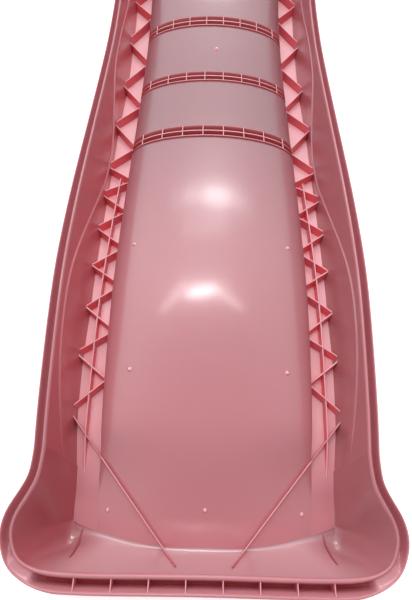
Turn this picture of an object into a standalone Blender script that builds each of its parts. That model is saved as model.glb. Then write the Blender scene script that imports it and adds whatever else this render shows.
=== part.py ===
"""Slide chute, seen and modelled with its ribbed underside up.

One injection-moulded shell in polypropylene: a crowned bed panel between two
narrow rail tops, side skirts that lean out to a grooved rim, a flared exit
lip, and the stiffening ribs of the underside.

Moulding frame: +Z is the draw direction, +Y runs from the exit to the top
end, Y = 0 is the corner where the rail tops meet the exit lip.  An empty
tips the moulding so that it lies on its rail tops, as it does on a floor.
Design sizes below are in millimetres.
"""
import math

import bmesh
import bpy

MM = 0.001

# ---------------------------------------------------------------- main sizes
WALL = 2.5                 # shell thickness
GAP = 0.3                  # joint between two neighbouring sections
BED_HALF = 133.0           # bed panel, half width at its shoulders
BED_FOOT = 135.0           # foot of the bed's side wall
LEDGE_IN = 135.3           # rail top, inner edge
LEDGE_OUT = 165.1          # rail top, outer edge
SKIRT_FOOT = 165.5         # inner face of the side skirt at the rail top
SKIRT_TOP = 183.0          # inner face of the side skirt at the rim
SKIRT_H = 89.0             # rim above the rail top
STEP = 2.0                 # wave-shaped step in the side skirt
RIM_OUT = 195.5            # outer edge of the side rims
TOP_Y = 1060.0             # top end
EXIT_Y = 60.0              # where the side skirts hand over to the exit lip
BULGE = 31.0               # how far the exit crease bows out at the middle
RIB_T = 2.4                # zigzag and keel ribs
TILT = math.atan(0.139)    # the moulding lies on its rail tops at this angle
SHIFT_Y = -514.757          # puts the origin under the middle of the part
LIFT = 2.5

# ------------------------------------------------------------- design tables
RAIL_Z = [(-40, -24), (0, 0), (25, 14), (58, 31), (92, 46), (140, 63),
          (190, 79), (230, 90), (271, 98.5), (323, 104), (380, 107),
          (434, 108), (530, 107.5), (620, 107), (700, 107.5), (763, 109.2),
          (815, 113.3), (895, 124.4), (940, 135), (980, 149), (1020, 166),
          (1060, 186), (1100, 207)]
CROWN = [(-40, 0), (0, 4), (30, 18), (60, 34), (90, 48), (140, 62),
         (200, 71), (240, 73), (1100, 73)]
SHOULDER = [(-40, 0), (25, 0), (40, 2.5), (50, 5), (60, 9), (70, 14),
            (86, 20), (100, 23), (120, 25.5), (150, 27), (1100, 27)]
WAVE = [(60, 42), (95, 56), (162, 74), (230, 77), (297, 68), (365, 50),
        (432, 32), (500, 19.5), (560, 21), (600, 30), (660, 50), (702, 64),
        (770, 72), (837, 69), (905, 60), (980, 48), (1060, 36)]
RIM_Z = [(-90, 45), (-66, 47), (-50, 54), (-33, 62), (-20, 71), (-6, 81),
         (7, 91), (22, 101), (40, 111.5), (60, 121)]
# exit lip: foot of the lip and inner edge of the rim, right-hand half
LIP_FOOT = [(165.5, 60), (165.5, 40), (165.5, 22), (165.3, 8), (164, -1.5),
            (160.5, -4), (154, -6.5), (145, -9.8), (134, -13.5),
            (118, -18.6), (92, -24.6), (50, -29.8), (0, -31)]
LIP_TOP = [(183, 60), (185.5, 40), (191, 24), (201.5, 8), (211.5, -6),
           (216.5, -20), (215.5, -33), (209, -45.5), (196, -55),
           (176, -61), (140, -64), (90, -65.5), (0, -66)]
LADDERS = {"lower": 542.0, "middle": 693.0, "upper": 860.0}
BED_CUTS = (0, 178, 375, 620, 815, 1060)   # the bed's panels, from the exit up
TIES = (-113.7, -81.2, -48.7, -16.2, 16.2, 48.7, 81.2, 113.7)
# zigzag ribs: Y of the inner and outer corners in turn
ZIG_UPPER = [1033, 990, 951, 886, 818, 752, 687, 634, 570, 522, 492]
ZIG_LOWER = [484, 458, 420, 387, 350, 318, 286, 254, 221, 192, 158, 122]
KEEL = [(100, 155.0), (490, 148.5)]        # keel rib: X at two values of Y
RIB_TOP = [(100, 14.5), (500, 15.5), (900, 17.5)]   # side ribs over the rail
ZIG_IN = 138.4             # inner and outer corners of the zigzag's sheet
ZIG_OUT = 162.2


# the sections of the moulding, and the points across the bed at each
STATIONS = [0, 14, 30, 46, 62, 80, 100, 122, 148, 178, 210, 245, 284, 326,
            375, 434, 530, 620, 700, 763, 815, 895, 940, 980, 1020, 1060]
ANGLES = [0, 12, 25, 40, 56, 73, 90]
half = [BED_HALF * math.cos(math.radians(a)) for a in ANGLES]
BED_X = [-BED_FOOT] + [-v for v in half[:-1]] + [0.0] + half[-2::-1] + [BED_FOOT]


def curve(table):
    """Smooth interpolation of a design table (cubic Hermite, limited slopes)."""
    xs = [float(p[0]) for p in table]
    ys = [float(p[1]) for p in table]
    n = len(xs)
    d = [(ys[i + 1] - ys[i]) / (xs[i + 1] - xs[i]) for i in range(n - 1)]
    m = [d[0]] + [0.0] * (n - 2) + [d[-1]]
    for i in range(1, n - 1):
        if d[i - 1] * d[i] > 0:
            m[i] = (d[i - 1] + d[i]) / 2
            cap = 3 * min(abs(d[i - 1]), abs(d[i]))
            m[i] = max(-cap, min(cap, m[i]))

    def at(x):
        if x <= xs[0]:
            return ys[0] + m[0] * (x - xs[0])
        if x >= xs[-1]:
            return ys[-1] + m[-1] * (x - xs[-1])
        i = max(k for k in range(n - 1) if xs[k] <= x)
        h = xs[i + 1] - xs[i]
        t = (x - xs[i]) / h
        return ((2 * t ** 3 - 3 * t ** 2 + 1) * ys[i]
                + (t ** 3 - 2 * t ** 2 + t) * h * m[i]
                + (-2 * t ** 3 + 3 * t ** 2) * ys[i + 1]
                + (t ** 3 - t ** 2) * h * m[i + 1])
    return at


rail_z = curve(RAIL_Z)
crown = curve(CROWN)
shoulder = curve(SHOULDER)
wave = curve(WAVE)
rim_z_exit = curve(RIM_Z)
rib_h = curve(RIB_TOP)
keel_x = curve(KEEL)


def smooth(a, b, x):
    t = max(0.0, min(1.0, (x - a) / (b - a)))
    return t * t * (3 - 2 * t)


def plan_y(x, s):
    """Plan Y of station s at width x: stations near the exit bow outwards."""
    bow = BULGE * max(0.0, 1 - s / 150.0) ** 2 if s < 150 else 0.0
    return s - bow * (1 - min(1.0, abs(x) / SKIRT_FOOT) ** 2.7)


def floor_h(x, s):
    """Height of the bed and rail tops over the rail line at station s."""
    w = 1 - smooth(30, 105, s)
    c, e = crown(s), shoulder(s)
    ax = abs(x)
    if ax <= BED_HALF:
        trough = e + (c - e) * math.sqrt(max(0.0, 1 - (ax / BED_HALF) ** 2))
    elif ax < BED_FOOT:
        trough = e * (BED_FOOT - ax) / (BED_FOOT - BED_HALF)
    else:
        trough = 0.0
    flat = c * max(0.0, 1 - (ax / SKIRT_FOOT) ** 2) ** 1.3
    return (1 - w) * trough + w * flat


def station_of(x, y):
    """Station whose bowed line passes through plan point x, y."""
    lo, hi = -40.0, 1100.0
    for _ in range(50):
        mid = (lo + hi) / 2
        if plan_y(x, mid) < y:
            lo = mid
        else:
            hi = mid
    return (lo + hi) / 2


def floor_z(x, y):
    """Height of the bed or rail top under plan point x, y, section to section."""
    s = min(max(station_of(x, y), STATIONS[0]), STATIONS[-1])
    b = next(v for v in STATIONS[1:] if v >= s)
    a = STATIONS[STATIONS.index(b) - 1]
    za, zb = (rail_z(v) + floor_h(x, v) for v in (a, b))
    return za + (zb - za) * (s - a) / (b - a)


def rim_z(y):
    return rim_z_exit(y) if y < 60 else rail_z(y) + SKIRT_H


def skirt_x(h, y):
    """Inner face of the side skirt: steady lean with the wave-shaped step."""
    lean = (SKIRT_TOP - SKIRT_FOOT - STEP) / SKIRT_H
    if h <= 0:
        return SKIRT_FOOT
    k = smooth(40, 110, y)
    plain = (SKIRT_TOP - SKIRT_FOOT) / SKIRT_H * h
    stepped = lean * h + STEP * smooth(-1.5, 1.5, h - wave(max(60, y)))
    return SKIRT_FOOT + (1 - k) * plain + k * stepped


# ---------------------------------------------------------------- scene setup
for ob in list(bpy.data.objects):
    bpy.data.objects.remove(ob, do_unlink=True)

parts = bpy.data.collections.new("slide_chute")
bpy.context.scene.collection.children.link(parts)
cutters = bpy.data.collections.new("cutters")
bpy.context.scene.collection.children.link(cutters)

frame = bpy.data.objects.new("chute_frame", None)
frame.rotation_euler = (-TILT, 0.0, 0.0)
frame.location = (0.0, SHIFT_Y * MM, LIFT * MM)
parts.objects.link(frame)


def plastic(name, colour):
    mat = bpy.data.materials.new(name)
    mat.use_nodes = True
    bsdf = mat.node_tree.nodes["Principled BSDF"]
    bsdf.inputs["Base Color"].default_value = (*colour, 1.0)
    bsdf.inputs["Roughness"].default_value = 0.28
    bsdf.inputs["Metallic"].default_value = 0.0
    return mat


PINK = (0.60, 0.245, 0.262)
ROSE = (0.55, 0.205, 0.225)
DEEP = (0.46, 0.140, 0.160)
PALE = (0.68, 0.330, 0.345)


def shell(name, rows, thickness, colour, offset=-1.0, closed=False, skip=None):
    """Open surface through rows of points, given thickness by Solidify."""
    verts, faces = [], []
    n = len(rows[0])
    for row in rows:
        verts.extend([tuple(c * MM for c in p) for p in row])
    for j in range(len(rows) - 1):
        for i in range(n - 1):
            if skip and skip(i, j):
                continue
            a = j * n + i
            faces.append((a, a + 1, a + n + 1, a + n))
    return solid(name, verts, faces, thickness, colour, offset)


def solid(name, verts, faces, thickness, colour, offset):
    used = sorted({v for f in faces for v in f})
    index = {v: k for k, v in enumerate(used)}
    mesh = bpy.data.meshes.new(name)
    mesh.from_pydata([verts[v] for v in used], [],
                     [[index[v] for v in f] for f in faces])
    mesh.update()
    ob = bpy.data.objects.new(name, mesh)
    ob.data.materials.append(plastic(name + "_plastic", colour))
    parts.objects.link(ob)
    ob.parent = frame
    mod = ob.modifiers.new("thickness", "SOLIDIFY")
    mod.thickness = thickness * MM
    mod.offset = offset
    mod.use_even_offset = True
    mod.use_rim = True
    for poly in mesh.polygons:
        poly.use_smooth = True
    mesh.set_sharp_from_angle(angle=math.radians(35))
    return ob


def ribbon(name, low, high, thickness, colour):
    """Upright rib: a sheet between its foot line and its top line."""
    return shell(name, [low, high], thickness, colour, offset=0.0)


def weld_on(ob, cutter):
    """Union another rib onto this one; the tool goes to the cutters."""
    parts.objects.unlink(cutter)
    cutters.objects.link(cutter)
    cutter.hide_render = True
    cutter.display_type = "WIRE"
    mod = ob.modifiers.new("union_" + cutter.name, "BOOLEAN")
    mod.operation = "UNION"
    mod.solver = "EXACT"
    mod.object = cutter


# ------------------------------------------------------------------ bed panel
for n, (a, b) in enumerate(zip(BED_CUTS, BED_CUTS[1:]), start=1):
    rows = []
    for s in [v for v in STATIONS if a <= v <= b]:
        dy = GAP if s == a and n > 1 else -GAP if s == b and b < TOP_Y else 0.0
        rows.append([(x, plan_y(x, s) + dy, rail_z(s) + floor_h(x, s)) for x in BED_X])
    shell("bed_panel_%d" % n, rows, WALL, PINK)

# ------------------------------------------------- rail tops, skirts and rims
RIM_PROFILE = [(3.1, -12.0), (6.4, -13.0), (9.6, -9.5), (10.9, -3.0), (11.0, 0.0)]
for side, sx in (("left", -1), ("right", 1)):
    def hand(row):
        return row if sx > 0 else [(-p[0], p[1], p[2]) for p in reversed(row)]

    xs = [LEDGE_IN, 151.0, LEDGE_OUT]
    rows = [hand([(x, plan_y(x, s), rail_z(s) + floor_h(x, s)) for x in xs])
            for s in STATIONS]
    shell(side + "_rail_top", rows, WALL, PALE)

    skirt_stations = [EXIT_Y + GAP / 2] + [s for s in STATIONS if s > 70]
    rows = []
    for y in skirt_stations:
        wv = wave(max(60.0, y))
        hs = [-2.0, wv - 2.0, wv + 2.0, SKIRT_H]
        rows.append(hand([(skirt_x(h, y), y, rail_z(y) + h) for h in hs]))
    shell(side + "_side_skirt", rows, WALL, ROSE)

    rows = []
    for y in skirt_stations:
        x0 = SKIRT_TOP
        rows.append(hand([(x0 + dx + 0.3, y, rail_z(y) + SKIRT_H + dz)
                          for dx, dz in RIM_PROFILE]))
    shell(side + "_side_rim", rows, 1.6, DEEP)

# ------------------------------------------------------------------- exit lip
def resample(points, n):
    """Even points along a smooth curve through plan points."""
    ts = [0.0]
    for a, b in zip(points, points[1:]):
        ts.append(ts[-1] + 1.0)
    fx = curve(list(zip(ts, [p[0] for p in points])))
    fy = curve(list(zip(ts, [p[1] for p in points])))
    return [(fx(ts[-1] * k / n), fy(ts[-1] * k / n)) for k in range(n + 1)]


LIP_N = 24
foot = resample(LIP_FOOT, LIP_N)
top = resample(LIP_TOP, LIP_N)


def lip_ends(k):
    """Foot and rim points, with their heights, at step k of the half lip."""
    fx, fy = foot[k]
    tx, ty = top[k]
    if fy > 0 and fx > 165:
        fz = rail_z(fy)
    else:
        fz = crown(0) * max(0.0, 1 - (fx / SKIRT_FOOT) ** 2) ** 1.3
    return (fx, fy, fz), (tx, ty, rim_z(ty))


def lip_point(k, u):
    """Lip surface: straight beside the rails, hollow across the front."""
    a, b = lip_ends(k)
    front = smooth(0.30, 0.62, k / LIP_N)
    v = u ** (1 + 0.35 * front)
    return (a[0] + (b[0] - a[0]) * u, a[1] + (b[1] - a[1]) * u,
            a[2] + (b[2] - a[2]) * v)


US = [0.012, 0.35, 0.7, 1.0]
right = [[lip_point(k, u) for u in US] for k in range(LIP_N + 1)]
rows = []
for row in right:
    first = row[0]
    nx, ny = row[1][0] - first[0], row[1][1] - first[1]
    d = math.hypot(nx, ny)
    rows.append([(first[0] + nx / d * 0.5, first[1] + ny / d * 0.5, first[2])]
                + row[1:])
lip = [[(p[0], p[1] - (GAP / 2 if k == 0 else 0), p[2]) for p in row]
       for k, row in enumerate(rows)]
lip_all = lip + [[(-p[0], p[1], p[2]) for p in row] for row in reversed(lip[:-1])]
shell("exit_lip", lip_all[::-1], WALL, PINK)

# exit rim: the same groove carried round the flare and across the front
def outward(k):
    a = top[max(0, k - 1)]
    b = top[min(LIP_N, k + 1)]
    tx, ty = b[0] - a[0], b[1] - a[1]
    if k == LIP_N:
        tx, ty = -1.0, 0.0
    if k == 0:
        tx, ty = 0.0, -1.0
    d = math.hypot(tx, ty)
    return -ty / d, tx / d


rows = []
for k in range(LIP_N + 1):
    tx, ty = top[k]
    ox, oy = outward(k)
    z = rim_z(ty)
    rows.append([(tx + ox * (dx + 0.5), ty + oy * (dx + 0.5) - (GAP / 2 if k == 0 else 0),
                  z + dz) for dx, dz in RIM_PROFILE])
rim_all = rows + [[(-p[0], p[1], p[2]) for p in row] for row in reversed(rows[:-1])]
shell("exit_rim", rim_all[::-1], 1.6, DEEP)

# small ribs across the front groove
for n, x in enumerate((-147, -105, -63, -21, 21, 63, 105, 147), start=1):
    k = min(range(LIP_N + 1), key=lambda q: abs(top[q][0] - abs(x)))
    y0 = top[k][1] - 3.9
    z0 = rim_z(top[k][1])
    ribbon("exit_rim_rib_%d" % n,
           [(x, y0, z0 - 10.0), (x, y0 - 3.0, z0 - 10.6), (x, y0 - 5.4, z0 - 7.6)],
           [(x, y0, z0 - 1.0), (x, y0 - 3.0, z0 - 1.4), (x, y0 - 5.4, z0 - 2.0)],
           1.8, PALE)

# --------------------------------------------------------------- side zigzags
def lip_z(x, y):
    """Height of the lip where it lies beyond the exit crease."""
    best = None
    for k in range(LIP_N):
        a, b = lip_ends(k)
        c, d = lip_ends(k + 1)
        for m in range(11):
            q = m / 10
            fx, fy, fz = (a[i] + (c[i] - a[i]) * q for i in range(3))
            tx, ty, tz = (b[i] + (d[i] - b[i]) * q for i in range(3))
            if abs(ty - fy) < 1e-6:
                continue
            u = (y - fy) / (ty - fy)
            if not 0 <= u <= 1:
                continue
            err = abs(fx + (tx - fx) * u - x)
            if best is None or err < best[0]:
                a_u = max((v for v in [0.0] + US if v <= u), default=0.0)
                b_u = min(v for v in US + [1.0001] if v > u)
                rise_a, rise_b = a_u ** 1.35, b_u ** 1.35
                v = rise_a + (rise_b - rise_a) * (u - a_u) / (b_u - a_u)
                best = (err, fz + (tz - fz) * v)
    return best[1] if best else 0.0


for side, sx in (("left", -1), ("right", 1)):
    def zigzag(name, ys):
        """Rib that runs to and fro between the bed's wall and the skirt."""
        low, high = [], []
        for i, y in enumerate(ys):
            x = ZIG_IN if i % 2 == 0 else ZIG_OUT
            low.append((sx * x, y, floor_z(x, y) + 0.6))
            high.append((sx * x, y, floor_z(x, y) + rib_h(y)))
            if i + 1 < len(ys):
                x, y = (ZIG_IN + ZIG_OUT) / 2, (y + ys[i + 1]) / 2
                low.append((sx * x, y, floor_z(x, y) + 0.6))
                high.append((sx * x, y, floor_z(x, y) + rib_h(y)))
        return ribbon(name, low, high, RIB_T, PALE)

    zigzag(side + "_zigzag_upper", ZIG_UPPER)
    lower = zigzag(side + "_zigzag_lower", ZIG_LOWER)
    # keel rib: straight through the lower zigzag, so the two are one piece
    ys = [490.0 - 16.2 * i for i in range(25)]
    low = [(sx * keel_x(y), y, floor_z(keel_x(y), y) + 0.9) for y in ys]
    high = [(p[0], p[1], p[2] + rib_h(p[1]) - 1.6) for p in low]
    weld_on(lower, ribbon(side + "_keel_tool", low, high, RIB_T, PALE))

    # end of the keel rib, beyond the brace
    tail = [84.0, 70.0, 56.0]
    x = keel_x(85) + 0.5
    low = [(sx * x, y, floor_z(x, y) + 1.0) for y in tail]
    high = [(p[0], p[1], p[2] + h) for p, h in zip(low, (11.0, 6.5, 2.0))]
    ribbon(side + "_keel_end", low, high, RIB_T, PALE)

    # brace from the last zigzag corner over the bed to the exit lip
    low, high = [], []
    n = 26
    for i in range(n + 1):
        t = i / n
        x = 163.0 + (38.0 - 163.0) * t
        y = 102.3 + (-44.9 - 102.3) * t
        crease = plan_y(x, 0.0)
        z = max(floor_z(x + q, y + w) if y + w > crease else lip_z(x + q, y + w)
                for q in (-2.5, 0.0, 2.5) for w in (-3.0, 0.0, 3.0))
        rise = 13.8 + (5.0 - 13.8) * smooth(0.10, 0.30, t)
        low.append((sx * x, y, z + 0.8 + 0.9 * smooth(5, -5, y - crease)))
        high.append((sx * x, y, z + rise))
    ribbon(side + "_diagonal_brace", low, high, RIB_T, PALE)

# ---------------------------------------------------------------- ladder ribs
for name, yc in LADDERS.items():
    xs = sorted({x for x in BED_X if abs(x) < BED_HALF - 1}
                | {x - 1.0 for x in TIES} | {x + 1.0 for x in TIES})
    ys = [-12.9, -10.3, -1.5, 1.5, 10.3, 13.0]
    tie_cells = {i for i in range(len(xs) - 1)
                 if any(abs((xs[i] + xs[i + 1]) / 2 - x) < 0.6 for x in TIES)}
    rows = [[(x, yc + dy, floor_z(x, yc + dy) + 0.8) for x in xs] for dy in ys]
    shell("ladder_rib_" + name, rows, 3.4, PALE, offset=1.0,
          skip=lambda i, j: j in (1, 3) and i not in tie_cells)

# ------------------------------------------------------- ejector and gate marks
def boss(name, x, y, radius, height, colour):
    z = 0.6 + max(floor_z(x + dx, y + dy) for dx, dy in
                  ((0, 0), (radius, 0), (-radius, 0), (0, radius), (0, -radius)))
    bm = bmesh.new()
    bmesh.ops.create_cone(bm, cap_ends=True, segments=12, radius1=radius * MM,
                          radius2=radius * 0.7 * MM, depth=height * MM)
    mesh = bpy.data.meshes.new(name)
    bm.to_mesh(mesh)
    bm.free()
    ob = bpy.data.objects.new(name, mesh)
    ob.data.materials.append(plastic(name + "_plastic", colour))
    ob.location = (x * MM, y * MM, (z + height / 2) * MM)
    parts.objects.link(ob)
    ob.parent = frame
    mesh.shade_smooth()
    mesh.set_sharp_from_angle(angle=math.radians(35))
    return ob


for n, (x, y) in enumerate(((-98, 156), (98, 156), (-105, 324), (105, 324),
                            (-122, 10), (0, 10), (122, 10)), start=1):
    boss("ejector_boss_%d" % n, x, y, 2.6, 2.6, PALE)
boss("gate_boss", 4, 778, 3.4, 3.4, PALE)

# -------------------------------------------------------------------- top end
xs = ([-(SKIRT_TOP + WALL), -(SKIRT_FOOT + WALL), -SKIRT_FOOT] + BED_X
      + [SKIRT_FOOT, SKIRT_FOOT + WALL, SKIRT_TOP + WALL])
y_end = TOP_Y + 1.5        # the sections slope, so their lower edges lead
rim_end = rail_z(TOP_Y) + SKIRT_H
low, high = [], []
for x in xs:
    ax = abs(x)
    if ax > SKIRT_FOOT + WALL:
        z = rail_z(TOP_Y) + SKIRT_H - 14.0
    elif ax > SKIRT_FOOT:
        z = rail_z(TOP_Y) - 2.0
    else:
        z = rail_z(TOP_Y) + floor_h(x, TOP_Y) - (2.4 if ax < BED_HALF else 2.0)
    low.append((x, y_end, z))
    high.append((x, y_end, rim_end))
shell("top_end_wall", [low, high], WALL, ROSE, offset=-1.0)

rows = []
for dx, dz in RIM_PROFILE:
    rows.append([(x, y_end + WALL + dx - 2.8 + GAP, rim_end + dz)
                 for x in (-185.0, -92.0, 0.0, 92.0, 185.0)])
shell("top_rim", rows, 1.6, DEEP)
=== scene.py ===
import math

import bmesh
import bpy
import numpy as np
from mathutils import Matrix, Vector


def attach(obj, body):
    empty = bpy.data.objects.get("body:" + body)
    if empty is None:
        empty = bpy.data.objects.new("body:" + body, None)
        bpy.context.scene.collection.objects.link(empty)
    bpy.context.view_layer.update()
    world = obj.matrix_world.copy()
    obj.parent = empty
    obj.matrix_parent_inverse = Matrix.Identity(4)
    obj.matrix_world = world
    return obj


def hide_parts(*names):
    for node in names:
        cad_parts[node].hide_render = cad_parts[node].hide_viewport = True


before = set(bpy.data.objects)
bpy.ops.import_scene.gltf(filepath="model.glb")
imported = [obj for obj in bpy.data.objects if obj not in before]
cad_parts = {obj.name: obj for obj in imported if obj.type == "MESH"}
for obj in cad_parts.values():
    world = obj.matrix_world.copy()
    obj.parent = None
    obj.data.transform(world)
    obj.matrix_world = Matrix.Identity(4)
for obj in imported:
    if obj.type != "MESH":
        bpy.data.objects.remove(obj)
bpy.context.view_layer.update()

# --------------------------------------------------------------------------
# The chute is designed in its moulding frame, in millimetres: +Z the draw
# direction, +Y from the exit to the top end, Y = 0 at the corner where the
# rail tops meet the exit lip.  PLACE carries it to the part's frame.
# --------------------------------------------------------------------------
TILT = math.atan(0.139)
PLACE = (Matrix.Translation((0.0, -0.514757, 0.0025))
         @ Matrix.Rotation(-TILT, 4, "X") @ Matrix.Scale(0.001, 4))
PM = np.array(PLACE)

WALL = 2.5
BED_HALF, BED_FOOT = 133.0, 135.0
SKIRT_FOOT, SKIRT_TOP, SKIRT_H, STEP = 165.5, 183.0, 89.0, 1.9
TOP_Y, BULGE = 1060.0, 31.0
EXIT_Y = 60.0

RAIL_Z = [(-40, -24), (0, 0), (25, 14), (58, 31), (92, 46), (140, 63),
          (190, 79), (230, 90), (271, 98.5), (323, 104), (380, 107),
          (434, 108), (530, 107.5), (620, 107), (700, 107.5), (763, 109.2),
          (815, 113.3), (895, 124.4), (940, 135), (980, 149), (1020, 166),
          (1060, 186), (1100, 207)]
CROWN = [(-40, 0), (0, 4), (30, 18), (60, 34), (90, 48), (140, 62),
         (200, 71), (240, 73), (400, 73), (700, 73), (1100, 73)]
SHOULDER = [(-40, 0), (0, 0), (25, 0), (40, 2.5), (50, 5), (60, 9), (70, 14),
            (86, 20), (100, 23), (120, 25.5), (150, 27), (400, 27), (1100, 27)]
WAVE = [(60, 42), (95, 56), (162, 74), (230, 77), (297, 68), (365, 50),
        (432, 32), (500, 19.5), (560, 21), (600, 30), (660, 50), (702, 64),
        (770, 72), (837, 69), (905, 60), (980, 48), (1060, 36)]
RIM_Z = [(-90, 45), (-66, 47), (-50, 54), (-33, 62), (-20, 71), (-6, 81),
         (7, 91), (22, 101), (40, 111.5), (60, 121), (92, 135)]
LIP_FOOT = [(165.5, 60), (165.5, 42), (165.6, 28), (165.9, 16), (166.2, 7),
            (166.5, 1.0), (166.4, -2.2), (163, -5.2), (152, -9.2),
            (134, -14.6), (100, -23.4), (52, -29.9), (0, -31.2)]
LIP_TOP = [(183, 60), (185.5, 40), (191, 24), (201.5, 8), (211.5, -6),
           (216.5, -20), (215.5, -33), (209, -45.5), (196, -53.6),
           (176, -57.8), (140, -59.3), (90, -59.3), (0, -58.6)]
LADDERS = {"lower": 542.0, "middle": 693.0, "upper": 860.0}
TIES = (-113.7, -81.2, -48.7, -16.2, 16.2, 48.7, 81.2, 113.7)
# each zigzag rib: Y at the bed's wall and Y at the skirt
ZIG_UPPER = ((1021, 986), (952, 986), (944, 884), (824, 884), (812, 751), (690, 751),
             (684, 634), (573, 634), (567, 522), (492, 522))
ZIG_LOWER = ((484, 458), (422, 458), (417, 387), (355, 387), (345, 318), (292, 318),
             (280, 253), (225, 253), (217, 191), (158, 191), (157, 121))
ZIG_SKIRT = ((121, 174.0), (191, 172.8), (253, 168.9), (318, 168.6), (387, 172.0), (458, 175.0),
             (522, 172.3), (634, 172.0), (751, 172.7), (884, 174.4), (986, 170.2))
# how far the skirt's foot stands out from a straight line
FOOT_OUT = [(-100, 0), (30, 0), (60, 0.5), (95, 3.0), (121, 4.2), (160, 4.0), (191, 3.8), (225, 2.0), (253, 0.8),
            (318, 1.2), (387, 1.6), (458, 2.6), (522, 3.4), (580, 4.4), (634, 5.0), (690, 4.0),
            (751, 2.6), (884, 3.2), (986, 1.5), (1040, 0), (1100, 0)]
KEEL_ENDS = ((99, 155.1), (492, 148.7))
RIB_TOPS = ((100, 14.5), (500, 15.5), (900, 17.5))


def hermite(table):
    """C1 interpolation of a design table with limited slopes, vectorised."""
    xs = np.array([p[0] for p in table], float)
    ys = np.array([p[1] for p in table], float)
    d = np.diff(ys) / np.diff(xs)
    m = np.concatenate([[d[0]], np.where(d[:-1] * d[1:] > 0, (d[:-1] + d[1:]) / 2, 0), [d[-1]]])
    for i in range(1, len(xs) - 1):
        cap = 3 * min(abs(d[i - 1]), abs(d[i]))
        m[i] = max(-cap, min(cap, m[i]))

    def at(x):
        x = np.asarray(x, float)
        i = np.clip(np.searchsorted(xs, x, side="right") - 1, 0, len(xs) - 2)
        h = xs[i + 1] - xs[i]
        t = (x - xs[i]) / h
        mid = ((2 * t ** 3 - 3 * t ** 2 + 1) * ys[i] + (t ** 3 - 2 * t ** 2 + t) * h * m[i]
               + (-2 * t ** 3 + 3 * t ** 2) * ys[i + 1] + (t ** 3 - t ** 2) * h * m[i + 1])
        low = ys[0] + m[0] * (x - xs[0])
        high = ys[-1] + m[-1] * (x - xs[-1])
        return np.where(x < xs[0], low, np.where(x > xs[-1], high, mid))
    return at


def smoothed(table, sigma):
    """The same curve, run through a Gaussian so that its shading is fair."""
    raw = hermite(table)
    grid = np.arange(-260.0, 1340.0, 1.0)
    vals = raw(grid)
    r = int(4 * sigma)
    k = np.exp(-0.5 * (np.arange(-r, r + 1) / sigma) ** 2)
    k /= k.sum()
    sm = np.convolve(np.pad(vals, r, mode="edge"), k, mode="valid")
    return lambda x: np.interp(np.asarray(x, float), grid, sm)


rail_z = smoothed(RAIL_Z, 14.0)
foot_out = smoothed(FOOT_OUT, 10.0)
crown = smoothed(CROWN, 10.0)
shoulder = smoothed(SHOULDER, 4.0)
wave = smoothed(WAVE, 16.0)
rim_exit = smoothed(RIM_Z, 4.0)


def smooth(a, b, x):
    t = np.clip((np.asarray(x, float) - a) / (b - a), 0, 1)
    return t * t * (3 - 2 * t)


def plan_y(x, s):
    s = np.asarray(s, float)
    bow = BULGE * np.maximum(0.0, 1 - np.maximum(s, -40) / 150.0) ** 2
    drop = 3.4 * smooth(120, 163, np.abs(x)) * smooth(34, 0, s)
    return s - bow * (1 - np.minimum(1.0, np.abs(x) / SKIRT_FOOT) ** 2.7) - drop


def floor_h(x, s, wall=0.0):
    """Bed and rail-top height over the rail line; the argument wall is not used."""
    ax = np.abs(np.asarray(x, float))
    s = np.asarray(s, float)
    w = 1 - smooth(30, 105, s)
    c, e = crown(s), shoulder(s)
    dome = e + (c - e) * np.sqrt(np.maximum(0.0, 1 - np.minimum(1, ax / BED_HALF) ** 2))
    side = e * np.clip((BED_FOOT - ax) / (BED_FOOT - BED_HALF), 0, 1)
    trough = np.where(ax <= BED_HALF, dome, side)
    flat = c * np.maximum(0.0, 1 - (ax / SKIRT_FOOT) ** 2) ** 1.3
    return (1 - w) * trough + w * flat


_s_axis = np.arange(-45.0, 1110.0, 0.5)


def station_of(x, y):
    """Station whose bowed line passes through plan point x, y."""
    x = np.atleast_1d(np.asarray(x, float))
    y = np.atleast_1d(np.asarray(y, float))
    out = np.empty(np.broadcast(x, y).shape)
    xb, yb = np.broadcast_arrays(x, y)
    for i in np.ndindex(out.shape):
        out[i] = np.interp(yb[i], plan_y(xb[i], _s_axis), _s_axis)
    return out


def floor_z(x, y):
    s = station_of(x, y)
    return rail_z(s) + floor_h(x, s)


def rim_z(y):
    y = np.asarray(y, float)
    k = smooth(50, 90, y)
    return (1 - k) * rim_exit(y) + k * (rail_z(y) + SKIRT_H)


def skirt_x(h, y):
    """Inner face of the side skirt: a steady lean with the wave-shaped step."""
    h = np.asarray(h, float)
    foot = foot_out(y) * smooth(wave(y), 0.3 * wave(y), h)
    lean = (SKIRT_TOP - SKIRT_FOOT - STEP) / SKIRT_H
    k = smooth(48, 120, y)
    plain = (SKIRT_TOP - SKIRT_FOOT) / SKIRT_H * h
    stepped = lean * h + STEP * smooth(-0.7, 0.7, h - wave(y))
    return SKIRT_FOOT + foot + (1 - k) * plain + k * stepped


# --------------------------------------------------------------------------
# mesh builders
# --------------------------------------------------------------------------
ALL = bpy.data.collections.new("chute_visual")
bpy.context.scene.collection.children.link(ALL)
pieces = {}


def to_part(P):
    P = np.asarray(P, float).reshape(-1, 3)
    return P @ PM[:3, :3].T + PM[:3, 3]


def link(name, mesh, mat, node_names):
    ob = bpy.data.objects.new(name, mesh)
    ob.data.materials.append(mat)
    ALL.objects.link(ob)
    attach(ob, "root")
    if node_names:
        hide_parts(*node_names)
    pieces[name] = ob
    return ob


def grid_normals(P):
    """Unit normals of a grid of points, rows x columns, from its own slopes."""
    du = np.gradient(P, axis=0)
    dv = np.gradient(P, axis=1)
    N = np.cross(dv, du)
    return N / np.maximum(np.linalg.norm(N, axis=2, keepdims=True), 1e-9)


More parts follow.
